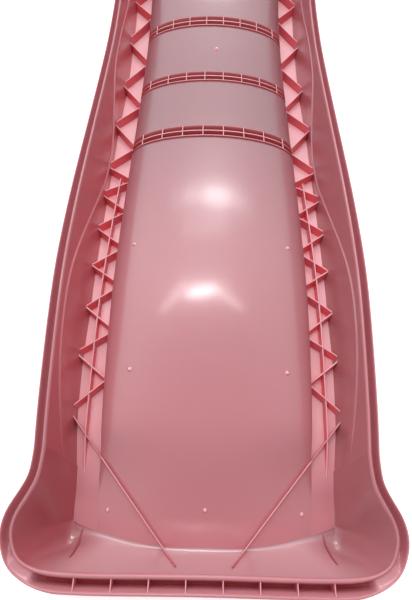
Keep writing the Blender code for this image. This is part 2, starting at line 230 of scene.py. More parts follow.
def shell_mesh(name, grids, thickness):
    """Closed sheet: each grid is rows x columns of points whose upper side is
    the one that (column step) x (row step) points to."""
    verts, faces, loop_n = [], [], []
    for P, N in grids:
        m, n = P.shape[:2]
        Q = P - N * thickness
        base = len(verts)
        verts.extend(P.reshape(-1, 3))
        verts.extend(Q.reshape(-1, 3))
        Nf = N.reshape(-1, 3)
        off = m * n

        def add(idx, normals):
            faces.append([base + i for i in idx])
            loop_n.extend(normals)
        for j in range(m - 1):
            for i in range(n - 1):
                a, b, c, d = j * n + i, j * n + i + 1, (j + 1) * n + i + 1, (j + 1) * n + i
                add((a, b, c, d), [Nf[a], Nf[b], Nf[c], Nf[d]])
                add((off + d, off + c, off + b, off + a), [-Nf[d], -Nf[c], -Nf[b], -Nf[a]])
        ring = ([(0, i) for i in range(n - 1)] + [(j, n - 1) for j in range(m - 1)]
                + [(m - 1, i) for i in range(n - 1, 0, -1)] + [(j, 0) for j in range(m - 1, 0, -1)])
        for (ja, ia), (jb, ib) in zip(ring, ring[1:] + ring[:1]):
            a, b = ja * n + ia, jb * n + ib
            pa, pb = P[ja, ia], P[jb, ib]
            fn = np.cross(pb - pa, -Nf[a])
            fn = -fn / max(np.linalg.norm(fn), 1e-9)
            add((b, a, off + a, off + b), [fn] * 4)
    return finish_mesh(name, verts, faces, loop_n)


def finish_mesh(name, verts, faces, loop_n=None, angle=None):
    mesh = bpy.data.meshes.new(name)
    mesh.from_pydata([tuple(v) for v in to_part(np.array(verts))], [], faces)
    mesh.update()
    mesh.shade_smooth()
    if loop_n is not None:
        R = PM[:3, :3] / 0.001
        nn = np.array(loop_n) @ R.T
        mesh.normals_split_custom_set([tuple(v) for v in nn])
    elif angle is not None:
        mesh.set_sharp_from_angle(angle=math.radians(angle))
    return mesh


def sweep_mesh(name, sections, angle=40, caps=True):
    """Closed solid through closed sections (rows of the same point count)."""
    S = np.array(sections)
    m, n = S.shape[:2]
    verts = list(S.reshape(-1, 3))
    faces = []
    for j in range(m - 1):
        for i in range(n):
            a, b = j * n + i, j * n + (i + 1) % n
            faces.append((a, b, b + n, a + n))
    if caps:
        faces.append(tuple(range(n - 1, -1, -1)))
        faces.append(tuple((m - 1) * n + i for i in range(n)))
    return finish_mesh(name, verts, faces, angle=angle)


def rib_sections(path, z_low, z_high, half_low, half_high, sy=1.0):
    """Sections of an upright rib: drafted sides, rounded top edge."""
    path = np.asarray(path, float)
    d = np.gradient(path, axis=0)
    d /= np.linalg.norm(d, axis=1, keepdims=True)
    side = np.stack([d[:, 1], -d[:, 0]], axis=1)
    rows = []
    for p, sd, zl, zh in zip(path, side, z_low, z_high):
        r = min(half_high, 0.9)
        prof = [(-half_low, zl), (half_low, zl)]
        hh = half_high
        prof += [(hh + 0.02, zh - r), (hh - 0.3 * r, zh - 0.3 * r), (hh - r, zh),
                 (-(hh - r) - 0.001, zh), (-(hh - 0.3 * r), zh - 0.3 * r), (-hh - 0.02, zh - r)]
        rows.append([(p[0] + sd[0] * o, p[1] + sd[1] * o, z) for o, z in prof])
    return rows


def join_meshes(name, meshes):
    bm = bmesh.new()
    for me in meshes:
        bm.from_mesh(me)
    out = bpy.data.meshes.new(name)
    bm.to_mesh(out)
    bm.free()
    for me in meshes:
        bpy.data.meshes.remove(me)
    out.shade_smooth()
    out.set_sharp_from_angle(angle=math.radians(40))
    return out


# --------------------------------------------------------------------------
# material: injection-moulded polypropylene, glossy, a little translucent
# --------------------------------------------------------------------------
def plastic(name, base, deep, rough=0.38, mottling=0.1, sss=0.30, fade=None, gloss=1.0, haze=0.18,
            right=None):
    mat = bpy.data.materials.new(name)
    mat.use_nodes = True
    nt = mat.node_tree
    nodes, links = nt.nodes, nt.links
    bsdf = nodes["Principled BSDF"]
    bsdf.inputs["IOR"].default_value = 1.49
    bsdf.inputs["Subsurface Weight"].default_value = sss
    bsdf.inputs["Subsurface Radius"].default_value = (1.0, 0.32, 0.30)
    bsdf.inputs["Subsurface Scale"].default_value = 0.006
    bsdf.inputs["Specular IOR Level"].default_value = gloss
    bsdf.inputs["Coat Weight"].default_value = gloss
    bsdf.inputs["Coat IOR"].default_value = 1.7
    bsdf.inputs["Coat Roughness"].default_value = haze

    coord = nodes.new("ShaderNodeTexCoord")

    def noise(scale, detail, rough_, stretch=(1, 1, 1)):
        mp = nodes.new("ShaderNodeMapping")
        mp.inputs["Scale"].default_value = stretch
        links.new(coord.outputs["Object"], mp.inputs["Vector"])
        tx = nodes.new("ShaderNodeTexNoise")
        tx.inputs["Scale"].default_value = scale
        tx.inputs["Detail"].default_value = detail
        tx.inputs["Roughness"].default_value = rough_
        links.new(mp.outputs["Vector"], tx.inputs["Vector"])
        return tx

    flow = noise(5.0, 3.0, 0.55, (1.6, 0.45, 1.0))      # flow of the melt
    cloud = noise(28.0, 4.0, 0.6)                      # cloudy pigment
    grain = noise(900.0, 2.0, 0.5)                     # fine surface grain

    ramp = nodes.new("ShaderNodeValToRGB")
    ramp.color_ramp.elements[0].position = 0.30
    ramp.color_ramp.elements[0].color = (*deep, 1)
    ramp.color_ramp.elements[1].position = 0.70
    ramp.color_ramp.elements[1].color = (*base, 1)
    mixf = nodes.new("ShaderNodeMath")
    mixf.operation = "MULTIPLY_ADD"
    mixf.inputs[1].default_value = 0.55
    links.new(flow.outputs["Fac"], mixf.inputs[0])
    scale2 = nodes.new("ShaderNodeMath")
    scale2.operation = "MULTIPLY"
    scale2.inputs[1].default_value = 0.45
    links.new(cloud.outputs["Fac"], scale2.inputs[0])
    links.new(scale2.outputs[0], mixf.inputs[2])
    links.new(mixf.outputs[0], ramp.inputs["Fac"])
    if fade is None:
        links.new(ramp.outputs["Color"], bsdf.inputs["Base Color"])
    else:
        # painted light and shade: the colour runs into another one along an axis
        colour, axis, c0, c1 = fade
        axes = nodes.new("ShaderNodeSeparateXYZ")
        # painted light and shade: steep walls take the darker fade colour, faces turned up the lighter one
        facing = axis == "up"                          # by the way that the surface faces
        links.new(coord.outputs["Normal" if facing else "Object"], axes.inputs["Vector"])
        axis = "Z" if facing else axis
        # painted light on the exit lip's front wall, painted shade on its side walls
        slanting = axis == "XY"                        # across the corners of the exit lip
        axis = "X" if slanting else axis
        along = nodes.new("ShaderNodeMapRange")
        along.inputs["From Min"].default_value = c0
        along.inputs["From Max"].default_value = c1
        place = axes.outputs[axis]
        if axis == "X":
            both = nodes.new("ShaderNodeMath")
            both.operation = "ABSOLUTE"
            links.new(place, both.inputs[0])
            place = both.outputs[0]
        if slanting:
            both = nodes.new("ShaderNodeMath")
            both.operation = "MULTIPLY_ADD"
            both.inputs[1].default_value = 1.2
            links.new(axes.outputs["Y"], both.inputs[0])
            links.new(place, both.inputs[2])
            place = both.outputs[0]
        links.new(place, along.inputs["Value"])
        blend = nodes.new("ShaderNodeMix")
        blend.data_type = "RGBA"
        blend.inputs[6].default_value = (*colour, 1)
        links.new(ramp.outputs["Color"], blend.inputs[7])
        # painted sheen: the right-hand half is paler and less red, standing in for the reflection of the stronger
        # light from the left
        if right is not None:
            # the right-hand half has a colour of its own
            half = nodes.new("ShaderNodeMapRange")
            half.inputs["From Min"].default_value = -0.04
            half.inputs["From Max"].default_value = 0.04
            links.new(axes.outputs["X"], half.inputs["Value"])
            sides = nodes.new("ShaderNodeMix")
            sides.data_type = "RGBA"
            sides.inputs[7].default_value = (*right, 1)
            links.new(half.outputs["Result"], sides.inputs[0])
            links.new(ramp.outputs["Color"], sides.inputs[6])
            links.new(sides.outputs[2], blend.inputs[7])
        links.new(along.outputs["Result"], blend.inputs[0])
        links.new(blend.outputs[2], bsdf.inputs["Base Color"])
        if slanting:
            # the side walls are duller than the front wall
            sheen = nodes.new("ShaderNodeMapRange")
            sheen.inputs["To Min"].default_value = gloss
            sheen.inputs["To Max"].default_value = 0.45 * gloss
            links.new(along.outputs["Result"], sheen.inputs["Value"])
            links.new(sheen.outputs["Result"], bsdf.inputs["Coat Weight"])
            bsdf.inputs["Specular IOR Level"].default_value = 0.7

    rr = nodes.new("ShaderNodeMapRange")
    rr.inputs["From Min"].default_value = 0.3
    rr.inputs["From Max"].default_value = 0.7
    rr.inputs["To Min"].default_value = rough - 0.04
    rr.inputs["To Max"].default_value = rough + 0.06
    links.new(cloud.outputs["Fac"], rr.inputs["Value"])
    links.new(rr.outputs["Result"], bsdf.inputs["Roughness"])

    sink = noise(22.0, 2.0, 0.5)                       # sink marks
    b1 = nodes.new("ShaderNodeBump")
    b1.inputs["Strength"].default_value = mottling
    b1.inputs["Distance"].default_value = 0.0006
    links.new(sink.outputs["Fac"], b1.inputs["Height"])
    b2 = nodes.new("ShaderNodeBump")
    b2.inputs["Strength"].default_value = 0.05
    b2.inputs["Distance"].default_value = 0.00005
    links.new(grain.outputs["Fac"], b2.inputs["Height"])
    links.new(b1.outputs["Normal"], b2.inputs["Normal"])
    links.new(b2.outputs["Normal"], bsdf.inputs["Normal"])
    return mat


def tone(r, g, b, k=0.96):
    return (r, g, b), (r * k, g * k, b * k)


# painted shade: the bed runs from a dark rose at the top end to a lighter pink at the exit, standing in for the light
# falling off towards the top end
PINK = plastic("pink_plastic", *tone(0.306, 0.124, 0.140), mottling=0.04, gloss=0.8,
               fade=((0.562, 0.196, 0.222), "Y", -0.40, 0.10))
# painted light and shade: the lip's front wall is a pale pink and its side walls a deep red, the right one paler as
# painted sheen
LIP = plastic("lip_plastic", *tone(0.374, 0.065, 0.078), mottling=0.04, gloss=1.0, haze=0.13, right=(0.375, 0.120, 0.134),
              fade=((0.570, 0.300, 0.325), "XY", -0.530, -0.460))
# painted light: the rail tops are paler than the bed, standing in for light bounced between the bed and the skirt;
# near the exit they run into a bed-like pink
RAIL = plastic("rail_plastic", *tone(0.990, 0.570, 0.610), mottling=0.06, gloss=0.3, haze=0.25,
               fade=((0.610, 0.235, 0.265), "Y", -0.48, -0.38))
# painted shade: the skirts' inner faces are a deeper, redder pink than the bed, deepest towards the exit end
ROSE = plastic("skirt_plastic", *tone(0.525, 0.124, 0.142), mottling=0.25, gloss=0.5, haze=0.2,
               fade=((0.400, 0.078, 0.092), "Y", -0.455, -0.34))
# painted sheen: the right skirt is a greyer, less red pink than the left one, standing in for its reflection of the
# stronger light from the left
ROSE_R = plastic("right_skirt_plastic", *tone(0.420, 0.134, 0.152), mottling=0.25, gloss=0.5, haze=0.2,
                 fade=((0.415, 0.141, 0.156), "Y", -0.30, 0.0))
# painted light and shade: the rims are a copy of the pink with a tone of their own, set to how light falls on them
DEEP = plastic("rim_plastic", *tone(0.545, 0.207, 0.233), mottling=0.05, gloss=0.5, haze=0.2)
# painted shade: the exit rim turns a deep red below a set height, darkening the depth of its slot
GROOVE = plastic("exit_rim_plastic", *tone(0.545, 0.207, 0.233), mottling=0.05, gloss=0.4, haze=0.2,
                 fade=((0.420, 0.022, 0.034), "Z", 0.038, 0.051))
# painted light and shade: the ribs and pips are pale where they face up and a deep red on their walls
PALE = plastic("rib_plastic", *tone(0.960, 0.500, 0.530), mottling=0.04, gloss=0.3, haze=0.25,
               fade=((0.860, 0.150, 0.185), "up", 0.45, 0.85))
# painted light and shade: the braces are lighter where they face up and darker on their walls
BRACE = plastic("brace_plastic", *tone(0.820, 0.370, 0.400), mottling=0.04, gloss=0.4, haze=0.25,
                fade=((0.560, 0.130, 0.155), "up", 0.45, 0.85))
# painted shadow: a dark red for the witness lines, standing in for the shadow of their step
SHADE = plastic("witness_shadow_plastic", *tone(0.340, 0.060, 0.072), mottling=0.04, gloss=0.4, haze=0.25)
# painted light and shade: the ladder bars are dark red on their walls, where the channels lie in shade, and paler on
# top
LADDER = plastic("ladder_plastic", *tone(0.800, 0.360, 0.390), mottling=0.04, gloss=0.5, haze=0.2,
                 fade=((0.420, 0.070, 0.080), "up", 0.60, 0.95))

# --------------------------------------------------------------------------
# bed: one fair surface, five pieces, with the sunk ladder channels
# --------------------------------------------------------------------------
ang = np.radians(np.concatenate([
    [0.0, 1.5, 3.0, 5.0, 7.5, 10.5, 14.0, 18.0, 23.0, 29.0, 36.0, 44.0, 53.0, 62.0, 71.0, 80.0, 90.0]]))
half = BED_HALF * np.cos(ang)
side_x = BED_HALF + (BED_FOOT - BED_HALF) * np.array([1.0, 0.75, 0.5, 0.25])
right_x = np.concatenate([side_x, half])               # foot -> middle
bed_x = np.concatenate([-right_x[:-1], [0.0], right_x[-2::-1]])


def bed_rows(a, b, step):
    n = max(2, int(round((b - a) / step)) + 1)
    return list(np.linspace(a, b, n))


CHANNEL = 13.2                                          # half width of a channel
DEPTH = 14.0


def channel_depth(x, s):
    out = np.zeros(np.broadcast(x, s).shape)
    for yc in LADDERS.values():
        inside = (smooth(CHANNEL + 0.35, CHANNEL - 0.35, np.abs(s - yc))
                  * smooth(131.4, 129.8, np.abs(x)))
        out = out + DEPTH * inside
    return out


def bed_grid(a, b):
    ss = bed_rows(a, b, 7.0)
    if a == 0:
        ss = [-1.6] + ss + [2.0, 4.5]
    for yc in LADDERS.values():
        if a < yc < b:
            ss = [v for v in ss if not (CHANNEL - 4 < abs(v - yc) < CHANNEL + 4)]
            for sgn in (-1, 1):
                ss += [yc + sgn * (CHANNEL + q) for q in (-2.0, -0.35, 0.0, 0.35, 2.0)]
    ss = np.array(sorted(ss))
    X, S = np.meshgrid(bed_x, ss)
    R = np.maximum(S, 0.0)
    base = np.stack([X, plan_y(X, S), rail_z(R) + floor_h(X, R)], axis=2)
    N = grid_normals(base)
    P = base.copy()
    P[:, :, 2] -= channel_depth(X, S)
    return P, N


BED_CUTS = (0, 178, 375, 620, 815, 1060)
for n, (a, b) in enumerate(zip(BED_CUTS, BED_CUTS[1:]), start=1):
    P, N = bed_grid(a, b)
    if any(a < yc < b for yc in LADDERS.values()):
        # the channel's floor keeps the panel's own normals
        pass
    link("bed_panel_surface_%d" % n, shell_mesh("bed_panel_surface_%d" % n, [(P, N)], WALL),
         PINK, ["bed_panel_%d" % n])

# --------------------------------------------------------------------------
# rail tops and skirts
# --------------------------------------------------------------------------
stations = np.array(sorted(set(bed_rows(0, 200, 4.0) + bed_rows(200, TOP_Y, 8.0))))
for side, sx in (("left", -1), ("right", 1)):
    xs = np.array([BED_FOOT, 136.0, 138.5, 142, 146, 150, 154, 158, 161.5, 164.5, SKIRT_FOOT + 0.8])
    X, S = np.meshgrid(xs, np.concatenate([[-1.6], stations]))
    X = X + foot_out(plan_y(X, S)) * smooth(156, SKIRT_FOOT, X)
    R = np.maximum(S, 0.0)
    P = np.stack([X, plan_y(X, S), rail_z(R) + floor_h(np.maximum(X, BED_FOOT + 1e-3), R)], axis=2)
    if sx < 0:
        P = P[:, ::-1].copy()
        P[:, :, 0] *= -1
    link(side + "_rail_surface", shell_mesh(side + "_rail_surface", [(P, grid_normals(P))], WALL),
         RAIL, [side + "_rail_top"])

    ys = np.array([EXIT_Y] + [v for v in stations if v > EXIT_Y + 1])
    rows = []
    for y in ys:
        w = float(wave(y))
        hs = np.concatenate([np.linspace(0, w - 1.6, 8), w + np.array([-0.75, -0.5, -0.25, 0, 0.25, 0.5, 0.75]),
                             np.linspace(w + 1.7, SKIRT_H - 3.0, 8)])
        top_z = float(rim_z(y)) - float(rail_z(y))
        hs = hs * (top_z - 3.0) / (SKIRT_H - 3.0)
        rows.append(np.stack([skirt_x(hs * SKIRT_H / top_z, y), np.full(len(hs), y), rail_z(y) + hs], axis=1))
    P = np.array(rows)
    if sx < 0:
        P = P[:, ::-1].copy()
        P[:, :, 0] *= -1
    link(side + "_skirt_surface", shell_mesh(side + "_skirt_surface", [(P, grid_normals(P))], WALL),
         ROSE if sx < 0 else ROSE_R, [side + "_side_skirt"])

# --------------------------------------------------------------------------
# rims: a rounded ridge, a deep slot, and a lip that curls up to a thin edge
# --------------------------------------------------------------------------
RIDGE = [(-0.60, -3.0), (-0.18, -0.9), (0.15, 0.15), (0.75, 0.95), (1.6, 1.2),
         (2.35, 0.85), (2.85, 0.0), (3.05, -1.4)]
SLOT = [(3.15, -5.0), (3.3, -9.5), (3.7, -12.8), (4.7, -14.9), (6.3, -15.6),
        (8.0, -14.6), (9.3, -12.0), (10.1, -8.2), (10.6, -4.2), (10.85, -1.4)]
EDGE = [(11.1, -0.3), (11.7, 0.15), (12.3, -0.25), (12.55, -1.3)]
UNDER = [(12.4, -5.5), (11.8, -10.5), (10.6, -14.8), (8.6, -17.4), (6.2, -18.2),
         (4.0, -17.6), (2.4, -15.6), (1.55, -12.0), (1.0, -8.0), (0.3, -5.2)]
RIM = np.array(RIDGE + SLOT + EDGE + UNDER)


FRONT = np.array([(-0.9, -3.0), (-0.3, -0.9), (0.4, 0.2), (1.6, 1.0), (2.9, 1.2),
                  (4.2, 0.8), (5.1, -0.1), (5.5, -1.6),
                  (5.7, -6.0), (5.9, -11.5), (6.3, -16.5), (7.2, -19.6), (8.8, -20.2),
                  (10.6, -17.5), (11.8, -12.5), (13.2, -8.6), (15.2, -5.4), (17.2, -3.2),
                  (18.4, -1.7), (19.8, -1.1), (21.1, -1.7), (21.8, -3.2),
                  (21.8, -7.0), (21.2, -12.0), (19.5, -17.0), (16.0, -20.5), (12.0, -23.0),
                  (8.0, -22.6), (5.0, -19.0), (3.0, -14.5), (1.6, -9.5), (0.3, -5.2)])
IN_SLOT = np.zeros(len(RIM))
IN_SLOT[len(RIDGE):len(RIDGE) + len(SLOT)] = 1.0


def rim_section(px, py, ox, oy, z, scale=1.0, front=0.0, fill=0.0):
    dx = RIM[:, 0] * np.where(RIM[:, 0] > 3, scale, 1.0)
    dx = dx * (1 - front) + FRONT[:, 0] * front
    dz = RIM[:, 1] * (1 - front) + FRONT[:, 1] * front
    dz = dz * (1 - fill * IN_SLOT) - 1.2 * fill * IN_SLOT
    return np.stack([px + ox * dx, py + oy * dx, z + dz], axis=1)


for side, sx in (("left", -1), ("right", 1)):
    rows = []
    for y in ys:
        sec = rim_section(SKIRT_TOP, y, 1.0, 0.0, float(rim_z(y)))
        if sx < 0:
            sec = sec * np.array([-1, 1, 1])
        rows.append(sec)
    if sx > 0:
        rows = rows[::-1]
    link(side + "_rim_surface", sweep_mesh(side + "_rim_surface", rows, 50),
         DEEP, [side + "_side_rim"])


def natural_spline(vals):
    """C2 cubic through equally spaced values; returns a function of the index."""
    v = np.array(vals, float)
    n = len(v)
    A = np.zeros((n, n))
    r = np.zeros(n)
    A[0, 0] = A[-1, -1] = 1
    for i in range(1, n - 1):
        A[i, i - 1:i + 2] = (1, 4, 1)
        r[i] = 6 * (v[i - 1] - 2 * v[i] + v[i + 1])
    m = np.linalg.solve(A, r)

    def at(t):
        t = np.asarray(t, float)
        i = np.clip(np.floor(t).astype(int), 0, n - 2)
        u = t - i
        return ((1 - u) * v[i] + u * v[i + 1]
                + ((1 - u) ** 3 - (1 - u)) * m[i] / 6 + (u ** 3 - u) * m[i + 1] / 6)
    return at


# the half lip is mirrored through the middle so that its spline is fair there
def mirrored(table):
    full = table + [(-x, y) for x, y in table[-2::-1]]
    return natural_spline([p[0] for p in full]), natural_spline([p[1] for p in full])


foot_x, foot_y = mirrored(LIP_FOOT)
top_x, top_y = mirrored(LIP_TOP)
LAST = 2 * (len(LIP_FOOT) - 1)
ts = np.linspace(0, LAST, 241)
FX, FY, TX, TY = foot_x(ts), foot_y(ts), top_x(ts), top_y(ts)
FX[0], FY[0], TX[0], TY[0] = SKIRT_FOOT, EXIT_Y, SKIRT_TOP, EXIT_Y
FX[-1], FY[-1], TX[-1], TY[-1] = -SKIRT_FOOT, EXIT_Y, -SKIRT_TOP, EXIT_Y
FZ = np.where((np.abs(FX) > 164.8) & (FY > 0), rail_z(FY),
              rail_z(0) + crown(0) * np.maximum(0, 1 - (np.abs(FX) / SKIRT_FOOT) ** 2) ** 1.3)
TZ = rim_z(TY)
front = smooth(0.28, 0.66, np.minimum(ts, LAST - ts) / (LAST / 2))


def lip_point(k, u):
    u = np.asarray(u, float)
    v = u ** (1 + 0.35 * front[k])
    # the side wall meets the front wall in a tight corner, low and far out
    i = min(ts[k], LAST - ts[k])
    w = float(smooth(5.7, 6.8, i) * smooth(9.6, 7.2, i))
    g = u / 0.3 * np.exp(1 - u / 0.3) * np.sqrt(np.maximum(0.0, 1 - u)) / 0.8367
    sign = 1.0 if FX[k] > 0 else -1.0
    return np.stack([FX[k] + (TX[k] - FX[k]) * u - sign * w * 5.0 * 4 * u * (1 - u),
                     FY[k] + (TY[k] - FY[k]) * u - w * 12.5 * g,
                     FZ[k] + (TZ[k] - 0.6 - FZ[k]) * v - w * 6.0 * g], axis=-1)


def lip_grid():
    """Rows round the lip; the foot is filleted into the bed and rail tops."""
    us = np.linspace(0.0, 1.0, 22)
    rows = []
    for k in range(len(ts)):
        run = math.hypot(TX[k] - FX[k], TY[k] - FY[k])
        r = 0.7 + 1.7 * float(smooth(0.27, 0.36, min(ts[k], LAST - ts[k]) / (LAST / 2)))
        u1 = r / run
        ax, ay = FX[k] - (TX[k] - FX[k]) * u1, FY[k] - (TY[k] - FY[k]) * u1
        if FY[k] > 5:
            az = FZ[k]
        else:
            az = float(floor_z(min(abs(ax), SKIRT_FOOT), max(ay, float(plan_y(ax, 0.0))))[0])
        a = np.array([ax, ay, az + 0.05])
        c = np.array([FX[k], FY[k], FZ[k]])
        b = lip_point(k, u1)
        q = np.linspace(0, 1, 9)[:, None]
        fillet = a * (1 - q) ** 2 + 2 * c * q * (1 - q) + b * q ** 2
        rest = lip_point(k, u1 + (1 - u1) * us[1:])
        rows.append(np.concatenate([fillet, rest]))
    return np.array(rows)


P = lip_grid()
P = P[::-1]                                             # left side to right side
link("exit_lip_surface", shell_mesh("exit_lip_surface", [(P, grid_normals(P))], WALL),
     LIP, ["exit_lip"])

# short curved witness line in each corner of the lip: a low step, coloured dark as its painted shadow
for side, line in (("left", ((-153.2, -9.0, 0.3), (-154.4, -13.9, -0.8), (-155.0, -19.0, -0.9), (-155.2, -25.1, 1.3),
                             (-155.2, -32.3, 11.2), (-155.6, -38.3, 20.4), (-157.7, -44.1, 28.3))),
                   ("right", ((150.0, -9.5, 0.4), (150.6, -14.0, -0.2), (151.3, -19.0, -0.2), (151.8, -24.0, 1.8),
                              (152.5, -28.5, 6.5), (153.6, -37.6, 19.4), (156.8, -45.6, 30.5)))):
    line = np.array(line)
    rise = np.interp(np.arange(len(line)), [0, 1, 3, 5, 6], [0.3, 1.4, 2.4, 2.4, 0.3])
    link(side + "_witness_line", sweep_mesh(side + "_witness_line", rib_sections(line[:, :2], line[:, 2] - 1.5,
         line[:, 2] + rise, 1.5, 1.2), 60), SHADE, [])

T = np.stack([TX, TY], axis=1)
d = np.gradient(T, axis=0)
d /= np.linalg.norm(d, axis=1, keepdims=True)
OUT = np.stack([-d[:, 1], d[:, 0]], axis=1)
OUT[0], OUT[-1] = (1, 0), (-1, 0)
rows = []
for k in range(len(ts)):
    sc = 1.0 + 0.16 * float(smooth(0.05, 0.4, min(ts[k], LAST - ts[k]) / (LAST / 2)))
    ax = abs(T[k, 0])
    on_front = float(smooth(216, 160, ax)) if T[k, 1] < -30 else 0.0
    corner = float(smooth(219, 209, ax) * smooth(185, 191, ax)) if T[k, 1] < -30 else 0.0
    rows.append(rim_section(T[k, 0], T[k, 1], OUT[k, 0], OUT[k, 1], TZ[k], sc, on_front, 0.95 * corner))
link("exit_rim_surface", sweep_mesh("exit_rim_surface", rows, 70),
     GROOVE, ["exit_rim"])

for n, x in enumerate((-145.0, -103.4, -61.7, -20.1, 21.6, 63.2, 104.9, 146.5), start=1):
    k = int(np.argmin(np.abs(TX - x) + 1000 * (TY > -40)))
    y0, z0 = TY[k], TZ[k]
    path = [(x, y0 - 4.8), (x, y0 - 8.5), (x, y0 - 13.0), (x, y0 - 18.0)]
    rows = rib_sections(path, [z0 - 19.0, z0 - 21.0, z0 - 14.0, z0 - 6.0],
                        [z0 - 0.9, z0 - 2.0, z0 - 2.6, z0 - 2.2], 1.0, 0.8)
    link("exit_slot_rib_%d" % n, sweep_mesh("exit_slot_rib_%d" % n, rows, 50),
         BRACE, ["exit_rim_rib_%d" % n])

# --------------------------------------------------------------------------
# ribs
# --------------------------------------------------------------------------
def straight(p, q, n):
    return [tuple(np.array(p) + (np.array(q) - np.array(p)) * i / (n - 1)) for i in range(n)]


def rib_h(y):
    return np.interp(y, [p[0] for p in RIB_TOPS], [p[1] for p in RIB_TOPS])


def behind_skirt(rows, sx):
    """Keeps a rib's end inside the leaning wall of the skirt."""
    out = []
    for row in rows:
        row = np.array(row)
        h = np.maximum(0.0, row[:, 2] - rail_z(row[:, 1]))
        limit = skirt_x(h, row[:, 1]) + 1.4
        row[:, 0] = sx * np.minimum(np.abs(row[:, 0]), limit)
        out.append(row)
    return out


for side, sx in (("left", -1), ("right", 1)):
    def rib(y_in, y_out, n=9):
        x_out = float(np.interp(y_out, [p[0] for p in ZIG_SKIRT], [p[1] for p in ZIG_SKIRT])) + float(foot_out(y_out))
        lean = 1.0 if y_out > y_in else -1.0
        path = np.array(straight((133.6, y_in), (x_out, y_out - 0.6 * lean), n))
        z = floor_z(np.abs(path[:, 0]).clip(BED_FOOT + 0.6, SKIRT_FOOT), path[:, 1])
        path[:, 0] *= sx
        return sweep_mesh("rib", behind_skirt(rib_sections(path, z - 1.2, z + rib_h(path[:, 1]), 1.35, 1.05), sx), 50)

    upper = [rib(*v) for v in ZIG_UPPER]
    lower = [rib(*v) for v in ZIG_LOWER]
    # keel rib through the lower zigzag
    ky, kx = zip(*KEEL_ENDS)
    yk = np.linspace(ky[1], ky[0], 40)
    path = np.stack([sx * np.interp(yk, ky, kx), yk], axis=1)
    z = floor_z(np.abs(path[:, 0]), path[:, 1])
    lower.append(sweep_mesh("keel", rib_sections(path, z - 1.2, z + rib_h(yk) - 0.5, 1.35, 1.0), 50))
    link(side + "_zigzag_upper_ribs", join_meshes(side + "_zigzag_upper_ribs", upper),
         PALE, [side + "_zigzag_upper"])
    link(side + "_zigzag_lower_ribs", join_meshes(side + "_zigzag_lower_ribs", lower),
         PALE, [side + "_zigzag_lower"])
    yk = np.linspace(ky[0], 52, 10)
    path = np.stack([sx * np.interp(yk, [52, ky[0]], [155.6, kx[0]]), yk], axis=1)
    z = floor_z(np.abs(path[:, 0]), path[:, 1])
    rise = np.interp(yk, [52, ky[0]], [0.0, float(rib_h(ky[0])) - 0.5])
    link(side + "_keel_run_out", sweep_mesh(side + "_keel_run_out", rib_sections(path, z - 1.2, z + rise, 1.35, 1.0), 50),
         PALE, [side + "_keel_end"])

    # diagonal brace
    n = 40
    path = np.array(straight((172.6, 113.4), (33.0, -50.4), n))
    z = []
    P3 = lip_grid()
    flatP = P3.reshape(-1, 3)
    for x, y in path:
        crease = float(plan_y(x, 0.0))
        if y > crease:
            z.append(float(floor_z(min(x, SKIRT_FOOT), y)[0]))
        else:
            dd = (flatP[:, 0] - x) ** 2 + (flatP[:, 1] - y) ** 2
            near = np.argsort(dd)[:4]
            w = 1 / (dd[near] + 1e-3)
            z.append(float((flatP[near, 2] * w).sum() / w.sum()))
    z = np.array(z)
    t = np.linspace(0, 1, n)
    rise = 14.5 + (5.5 - 14.5) * smooth(0.08, 0.27, t)
    top = z + rise
    path[:, 0] *= sx
    link(side + "_brace_rib", sweep_mesh(side + "_brace_rib",
                                         behind_skirt(rib_sections(path, z - 1.5, top, 1.3, 0.95), sx), 50),
         BRACE, [side + "_diagonal_brace"])

# --------------------------------------------------------------------------
# ladder ribs
# --------------------------------------------------------------------------
# bars across a channel, in the order near, middle, far: (dy, dz) of each section
BARS = (((-12.9, -15.0), (-10.7, -15.0), (-10.7, 1.7), (-11.0, 2.4), (-11.7, 2.7), (-12.5, 2.4), (-12.9, 1.7)),
        ((-1.5, -15.0), (1.5, -15.0), (1.35, 1.6), (0.9, 2.4), (0.0, 2.6), (-0.9, 2.4), (-1.35, 1.6)),
        ((9.4, -15.0), (13.8, -15.0), (13.9, 0.8), (13.5, 1.7), (12.9, 1.9), (12.3, 1.3), (9.7, -4.4)))
for name, yc in LADDERS.items():
    parts = []
    xs = np.concatenate([[-131.6, -130.6, -129.0], np.linspace(-126, 126, 61), [129.0, 130.6, 131.6]])
    for bar in BARS:
        rows = []
        for x in xs:
            rows.append([(x, yc + dy, float(rail_z(yc + dy)) + float(floor_h(x, yc + dy)) + dz) for dy, dz in bar])
        parts.append(sweep_mesh("bar", rows[::-1], 40))
    for x in TIES:
        path = np.array([(x, yc + q) for q in np.linspace(-11.8, 12.6, 6)])
        z = rail_z(path[:, 1]) + floor_h(path[:, 0], path[:, 1])
        parts.append(sweep_mesh("tie", rib_sections(path, z - DEPTH - 1.0, z + 2.2, 1.2, 0.95), 50))
    link("ladder_%s_bars" % name, join_meshes("ladder_%s_bars" % name, parts),
         LADDER, ["ladder_rib_%s" % name])

